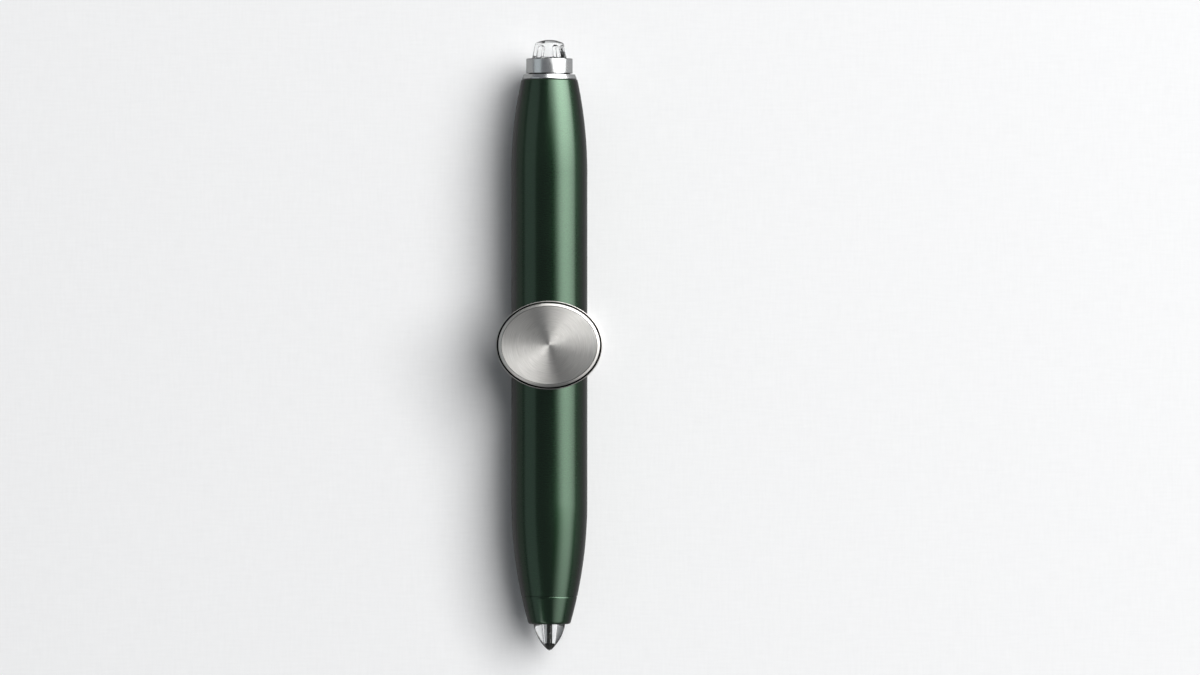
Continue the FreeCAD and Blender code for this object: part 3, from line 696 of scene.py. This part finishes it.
def build_nose_ring():
    seam_r = taper(SEAM)
    low = NOSE_END + NOSE_ROUND
    outside = [(seam_r - RING_BEVEL_IN, SEAM)] + taper_line(SEAM - RING_BEVEL_LONG, low, 0.2)
    end_r = taper(low)
    outside += [(end_r - NOSE_ROUND * (1 - math.cos(a)) - 0.03, low - NOSE_ROUND * math.sin(a))
                for a in (0.3, 0.6, 0.9, 1.2, math.pi / 2)]
    inside = [(NOSE_OPENING_R, NOSE_END), (NOSE_OPENING_R, NOSE_LIP), (NOSE_BORE_R, NOSE_LIP),
              (NOSE_BORE_R, SEAM)]
    shell = turned(outside + inside)
    run = SEAM + RUN_IN
    neck = turned([(THREAD_CORE_R, SEAM - THREAD_GAP), (THREAD_CORE_R, run), (NOSE_BORE_R, run),
                   (NOSE_BORE_R, SEAM - THREAD_GAP)], 128)
    thread = screw(THREAD_CORE_R, THREAD_DEPTH, run, SEAM + THREAD, NOSE_BORE_R)
    return dress(piece("nose_ring_skin", shell, neck, thread), "green_aluminium", "nose", "nose_ring")


def arc_through(start, middle, end, steps=24):
    """Points on the circle through three (x, y) points."""
    (ax, ay), (bx, by), (cx, cy) = start, middle, end
    d = 2 * (ax * (by - cy) + bx * (cy - ay) + cx * (ay - by))
    squares = (ax * ax + ay * ay, bx * bx + by * by, cx * cx + cy * cy)
    x = (squares[0] * (by - cy) + squares[1] * (cy - ay) + squares[2] * (ay - by)) / d
    y = (squares[0] * (cx - bx) + squares[1] * (ax - cx) + squares[2] * (bx - ax)) / d
    first = math.atan2(ay - y, ax - x)
    sweep = (math.atan2(cy - y, cx - x) - first + math.pi) % (2 * math.pi) - math.pi
    r = math.hypot(ax - x, ay - y)
    return [(x + r * math.cos(first + sweep * k / steps), y + r * math.sin(first + sweep * k / steps))
            for k in range(steps + 1)]


def build_nose():
    """Clear cone with its stepped cavity, and the refill's needle inside it."""
    flange = [(CONE_FLANGE_R, CONE_REAR), (CONE_FLANGE_R, CONE_FLANGE), (CONE_R, CONE_FLANGE)]
    outside = flange + arc_through((CONE_R, NOSE_END), CONE_MIDDLE, CONE_TIP)
    inside = rounded([(CONE_SOCKET_R, CONE_REAR), (CONE_SOCKET_R, -46.7), (*CAVITY_TOP, 0.3),
                      (*CAVITY_END, 0.03), (0, CAVITY_END[1])])
    cone = piece("clear_nose", turned([(0, CONE_TIP[1])] + outside[::-1] + inside))
    plastic = clear_plastic("nose_acrylic", (0.96, 0.97, 0.97), 0.0, edge_from=0.55, edge_to=0.95, bend=1.30)
    dress(cone, "clear_acrylic", "nose_unit", "nose_cone", paint=plastic)
    stem = [(NEEDLE_R, u) for u in (NEEDLE_REAR, -46, -48, -50, NEEDLE_FRONT)]
    point = rounded([(NEEDLE_R, NEEDLE_FRONT), (*POINT_SHOULDER, 0.03), POINT_MOUTH])[1:]
    bore = [(POINT_BORE_R, POINT_MOUTH[1])]
    needle = turned([(POINT_BORE_R, NEEDLE_REAR)] + stem + point + bore, 96)
    dress(piece("needle", needle), "dark_steel", "nose_unit", "writing_point")


def build_pad(side):
    """Turned pad: thin polished flange, groove, raised step with a polished bevel, and a brushed face."""
    flange = [(PAD_A, 0), (0.04, 0, 0.03), (0.0, 0.06, 0.03), (0.0, FLANGE_TOP - 0.08, 0.05),
              (0.08, FLANGE_TOP, 0.03), (FLANGE_IN, FLANGE_TOP, 0.02)]
    groove = [(0.16, GROOVE_FLOOR), (GROOVE_IN, GROOVE_FLOOR), (0.36, 0.6)]
    bevel = [(*BEVEL_START, 0.08), (0.78, 2.14, 0.05), BEVEL_END]
    contour = rounded(flange + groove + bevel, 4)
    rings = [oval(inset, height, side) for inset, height in contour[1:]]
    rings += [oval(0.85, 2.12, side), oval(0.90, 2.12, side)]
    rings += [oval(inset, PAD_THICK, side) for inset in (FACE_IN, 1.5, 2.5, 3.5, 4.5, 5.5, 6.5)]
    centre = [(0, 0, (AXIS + side * (PAD_UNDER + PAD_THICK)) * MM)]
    under = [[(0, 0, (AXIS + side * PAD_UNDER) * MM)], oval(3, 0, side)]
    return skin(under + rings + [centre])


def build_pads():
    for side, name, node in ((1, "front_pad_plate", "front_pad"), (-1, "back_pad_plate", "back_pad")):
        plate = build_pad(side)
        root = PAD_UNDER + 0.1
        boss = rounded([(0, root), (STUD_R, root), (STUD_R, STUD_FOOT, 0.12), (STUD_NECK_R, STUD_FOOT),
                        (STUD_NECK_R, STUD_STEP), (STUD_PIN_R, STUD_STEP), (STUD_PIN_R, STUD_END),
                        (0, STUD_END)])
        pad = piece(name, plate, turned_upright(boss, side), sharp=25)
        dress(pad, "pad_steel", "pads", node)


def build_collar():
    foot = BARREL_TOP
    run = foot - RUN_IN
    flare = [(COLLAR_BORE_R, foot), (COLLAR_FOOT_R, foot, 0.03), (COLLAR_FOOT_R, foot + 0.12, 0.05),
             (COLLAR_BEVEL_R, COLLAR_NECK, 0.04), (COLLAR_NECK_R, COLLAR_NECK)]
    band = [(COLLAR_NECK_R, COLLAR_LOW), (COLLAR_R, COLLAR_LOW, 0.06), (COLLAR_R, COLLAR_TOP, 0.14)]
    mouth = [(COLLAR_OPENING_R, COLLAR_TOP, 0.08), (COLLAR_OPENING_R, COLLAR_LIP),
             (COLLAR_BORE_R, COLLAR_LIP)]
    body = turned(rounded(flare + band + mouth))
    neck = turned([(COLLAR_BORE_R, foot + THREAD_GAP), (COLLAR_BORE_R, run), (THREAD_CORE_R, run),
                   (THREAD_CORE_R, foot + THREAD_GAP)], 128)
    thread = screw(THREAD_CORE_R, THREAD_DEPTH, foot - THREAD, run, COLLAR_BORE_R)
    collar = piece("collar_skin", body, neck, thread, sharp=30)
    return dress(collar, "collar_chrome", "collar", "light_collar")


def lens_radius(turn, u):
    """Outside of the lens over the collar: a frustum with six arched flutes."""
    climb = (u - COLLAR_TOP) / (LENS_SHOULDER - COLLAR_TOP)
    base = LENS_BASE_R + (LENS_SHOULDER_R - LENS_BASE_R) * climb
    past = max(0, u - FLUTE_END)
    if past >= FLUTE_R:
        return base
    radius = math.sqrt(FLUTE_R ** 2 - past ** 2)
    centre = base + FLUTE_R - FLUTE_DEPTH
    half = math.pi / FLUTES
    away = (turn - math.radians(FLUTE_TURN) + half) % (2 * half) - half
    inside = radius ** 2 - (centre * math.sin(away)) ** 2
    if inside <= 0:
        return base
    cut = centre * math.cos(away) - math.sqrt(inside)
    gap = base - cut
    if gap <= -FLUTE_SOFTNESS:
        return base
    return base - (gap + math.sqrt(gap ** 2 + FLUTE_SOFTNESS ** 2)) / 2


def build_lens():
    """Fluted dome with its flange under the collar's lip and a socket over the light."""
    count = 720

    def point(t, r, u):
        return (r * math.sin(t) * MM, u * MM, (AXIS + r * math.cos(t)) * MM)

    def plain(u, r):
        return [point(2 * math.pi * j / count, r, u) for j in range(count)]

    def fluted(u, shrink=0.0):
        turns = [2 * math.pi * j / count for j in range(count)]
        return [point(t, lens_radius(t, u) - shrink, u) for t in turns]

    top = LENS_SOCKET_TOP
    socket = [[(0, top * MM, AXIS * MM)], plain(top, 0.8), plain(top, LENS_SOCKET_R - 0.1),
              plain(top - 0.1, LENS_SOCKET_R)]
    flange = [plain(LENS_FLANGE_LOW, LENS_SOCKET_R), plain(LENS_FLANGE_LOW, LENS_FLANGE_R),
              plain(LENS_FLANGE_TOP, LENS_FLANGE_R), plain(LENS_FLANGE_TOP, LENS_BASE_R),
              plain(COLLAR_TOP - 0.1, LENS_BASE_R)]
    steps = 60
    rise = LENS_SHOULDER - COLLAR_TOP
    side = [fluted(COLLAR_TOP + rise * i / steps) for i in range(steps + 1)]
    side += [fluted(LENS_SHOULDER + LENS_EDGE_RISE * math.sin(a), LENS_EDGE_IN * (1 - math.cos(a)))
             for a in (0.4, 0.8, 1.2)]
    cap = LENS_TOP - LENS_CAP
    ball = (LENS_CAP_R ** 2 + cap ** 2) / (2 * cap)
    crown = []
    for i in range(14):
        r = LENS_CAP_R * (1 - i / 14)
        crown.append(plain(LENS_TOP - ball + math.sqrt(ball ** 2 - r ** 2), r))
    crown.append([(0, LENS_TOP * MM, AXIS * MM)])
    dome = piece("lens_dome", skin(socket + flange + side + crown), sharp=40)
    dome.visible_shadow = False
    return dress(dome, "clear_acrylic", "button", "lens_button")


def build_button_spring():
    """Spring under the button, standing on the switch."""
    low = SPRING_LOW
    high = SPRING_HIGH
    steps = SPRING_TURNS * SPRING_ROWS
    climb = high - low - 2 * SPRING_WIRE_R
    rings = []
    ends = []
    for i in range(steps + 1):
        t = 2 * math.pi * SPRING_TURNS * i / steps
        u = low + SPRING_WIRE_R + climb * i / steps
        ring = []
        for k in range(SPRING_SIDES):
            a = 2 * math.pi * k / SPRING_SIDES
            r = SPRING_R + SPRING_WIRE_R * math.cos(a)
            height = u + SPRING_WIRE_R * math.sin(a)
            ring.append((r * math.sin(t) * MM, height * MM, (AXIS + r * math.cos(t)) * MM))
        rings.append(ring)
        middle = (SPRING_R * math.sin(t) * MM, u * MM, (AXIS + SPRING_R * math.cos(t)) * MM)
        ends.append([middle])
    spring = piece("press_spring", skin([ends[0]] + rings + [ends[-1]]), sharp=60)
    spring.data.materials.append(FINISHES["spring_steel"])
    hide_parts("button_spring")
    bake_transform(spring)


build_barrel()
build_nose_ring()
build_nose()
build_pads()
build_collar()
build_lens()
build_button_spring()

for part in frame["record"]["subparts"]:
    node = frame["nodes"][part["node"]]
    node.data.materials.clear()
    node.data.materials.append(FINISHES[part["material_slot"]])


# ---------------------------------------------------------------- stage

def build_floor():
    mesh = bmesh.new()
    bmesh.ops.create_grid(mesh, x_segments=1, y_segments=1, size=1.5)
    floor = piece("floor", mesh)
    floor.location.z = -0.00002     # just clear of the lower pad's face
    floor.data.materials.append(paper())


def heading(azimuth, zenith):
    """Unit vector at an azimuth from +X and an angle from straight up, in degrees."""
    a = math.radians(azimuth)
    z = math.radians(zenith)
    return Vector((math.cos(a) * math.sin(z), math.sin(a) * math.sin(z), math.cos(z)))


def softbox(name, azimuth, zenith, distance, width, height, radiance):
    """Rectangular light aimed at the pen that lights the table and everything matt."""
    light = bpy.data.lights.new(name, "AREA")
    light.shape = "RECTANGLE"
    light.size = width
    light.size_y = height
    light.energy = radiance * math.pi * width * height
    holder = bpy.data.objects.new(name, light)
    way = heading(azimuth, zenith)
    holder.location = way * distance
    holder.rotation_euler = way.to_track_quat("Z", "Y").to_euler()
    holder.visible_glossy = False
    bpy.context.scene.collection.objects.link(holder)


def reflector(name, azimuths, zeniths, aim, radiance, floor_level, power, tint=(1, 1, 1), soft=(0, 0),
              through=False):
    """Curved card, brightest towards aim, seen only in reflections or only through clear plastic.

    All its angles are azimuths from +X and angles from straight up, in degrees. With a power of 0 it's
    evenly bright. Its light dies away over soft degrees at its upper and lower edges.
    """
    mesh = bmesh.new()
    rows = []
    for i in range(CARD_STEPS + 1):
        z = zeniths[0] + (zeniths[1] - zeniths[0]) * i / CARD_STEPS
        row = [azimuths[0] + (azimuths[1] - azimuths[0]) * j / CARD_STEPS for j in range(CARD_STEPS + 1)]
        rows.append([mesh.verts.new(heading(a, z) * CARD_DISTANCE) for a in row])
    for low, high in zip(rows, rows[1:]):
        for j in range(CARD_STEPS):
            mesh.faces.new([low[j], low[j + 1], high[j + 1], high[j]])
    card = piece(name, mesh)
    glow = bpy.data.materials.new(name)
    glow.use_nodes = True
    tree = glow.node_tree
    tree.nodes.clear()
    place = tree.nodes.new("ShaderNodeTexCoord")
    unit = tree.nodes.new("ShaderNodeVectorMath")
    unit.operation = "NORMALIZE"
    tree.links.new(place.outputs["Object"], unit.inputs[0])
    match = tree.nodes.new("ShaderNodeVectorMath")
    match.operation = "DOT_PRODUCT"
    match.inputs[1].default_value = heading(*aim)
    tree.links.new(unit.outputs[0], match.inputs[0])
    near = tree.nodes.new("ShaderNodeMapRange")
    near.inputs["From Min"].default_value = floor_level
    near.inputs["From Max"].default_value = 1
    tree.links.new(match.outputs["Value"], near.inputs["Value"])
    fade = tree.nodes.new("ShaderNodeMath")
    fade.operation = "POWER"
    fade.inputs[1].default_value = power
    tree.links.new(near.outputs["Result"], fade.inputs[0])
    level = tree.nodes.new("ShaderNodeMath")
    level.operation = "MULTIPLY"
    level.inputs[1].default_value = radiance
    tree.links.new(fade.outputs[0], level.inputs[0])
    strength = level.outputs[0]
    height = tree.nodes.new("ShaderNodeSeparateXYZ")
    tree.links.new(unit.outputs[0], height.inputs[0])
    zenith = tree.nodes.new("ShaderNodeMath")
    zenith.operation = "ARCCOSINE"
    tree.links.new(height.outputs["Z"], zenith.inputs[0])
    for start, end in ((zeniths[0], zeniths[0] + soft[0]), (zeniths[1], zeniths[1] - soft[1])):
        if start == end:
            continue
        edge = tree.nodes.new("ShaderNodeMapRange")
        edge.interpolation_type = "SMOOTHSTEP"
        edge.inputs["From Min"].default_value = math.radians(start)
        edge.inputs["From Max"].default_value = math.radians(end)
        tree.links.new(zenith.outputs[0], edge.inputs["Value"])
        dim = tree.nodes.new("ShaderNodeMath")
        dim.operation = "MULTIPLY"
        tree.links.new(strength, dim.inputs[0])
        tree.links.new(edge.outputs["Result"], dim.inputs[1])
        strength = dim.outputs[0]
    light = tree.nodes.new("ShaderNodeEmission")
    light.inputs["Color"].default_value = (*tint, 1)
    tree.links.new(strength, light.inputs["Strength"])
    output = tree.nodes.new("ShaderNodeOutputMaterial")
    tree.links.new(light.outputs[0], output.inputs["Surface"])
    card.data.materials.append(glow)
    card.visible_camera = False
    card.visible_diffuse = False
    card.visible_shadow = False
    card.visible_glossy = not through
    card.visible_transmission = through


def build_flag():
    """Grey cloth on the table, seen only in reflections, that keeps the pen's two edges dark."""
    mesh = bmesh.new()
    bmesh.ops.create_grid(mesh, x_segments=1, y_segments=1, size=0.5)
    cloth = piece("flag", mesh)
    cloth.location.z = -0.00001
    p = Paint("cloth")
    weave = p.noise((3000, 3000, 1), 2)
    p.drive(Base_Color=p.ramp(weave, (0.3, grey(0.31)), (0.7, grey(0.37))))
    p.set(Roughness=1.0, Specular_IOR_Level=0.0)
    cloth.data.materials.append(p.material)
    cloth.visible_camera = False
    cloth.visible_diffuse = False
    cloth.visible_shadow = False
    cloth.visible_transmission = False


def build_camera():
    lens = bpy.data.cameras.new("camera")
    lens.lens = LENS_FOCUS
    lens.sensor_width = SENSOR
    camera = bpy.data.objects.new("camera", lens)
    height = VIEW_WIDTH * MM * lens.lens / lens.sensor_width
    camera.location = (VIEW_ACROSS * MM, VIEW_ALONG * MM, height + AXIS * MM)
    bpy.context.scene.collection.objects.link(camera)
    bpy.context.scene.camera = camera


def build_world():
    world = bpy.data.worlds.new("studio")
    world.use_nodes = True
    back = world.node_tree.nodes["Background"]
    back.inputs["Color"].default_value = (0.150, 0.156, 0.165, 1)
    back.inputs["Strength"].default_value = 1
    bpy.context.scene.world = world


build_floor()
build_world()
softbox("key", azimuth=25, zenith=30.5, distance=1.6, width=1.26, height=1.26, radiance=6.1)
reflector("window", azimuths=(-6, 98), zeniths=(8, 90), aim=(40, 56),
          radiance=8.2, floor_level=0.30, power=2.6, soft=(32, 12))
reflector("strip", azimuths=(-66, -6), zeniths=(20, 88), aim=(10, 56),
          radiance=3.0, floor_level=0.30, power=1.0, soft=(30, 24))
reflector("fill", azimuths=(142, 222), zeniths=(42, 80), aim=(180, 61),
          radiance=0.50, floor_level=-1.0, power=0.0, tint=(0.88, 0.96, 1.0))
reflector("kicker", azimuths=(214, 252), zeniths=(48, 64), aim=(233, 56),
          radiance=2.2, floor_level=0.8, power=0.5, soft=(4, 4))
reflector("surround", azimuths=(0, 360), zeniths=(25, 90), aim=(0, 0),
          radiance=0.72, floor_level=-1.0, power=0.0, through=True)
build_flag()
build_camera()
bpy.context.scene.view_settings.view_transform = "Standard"
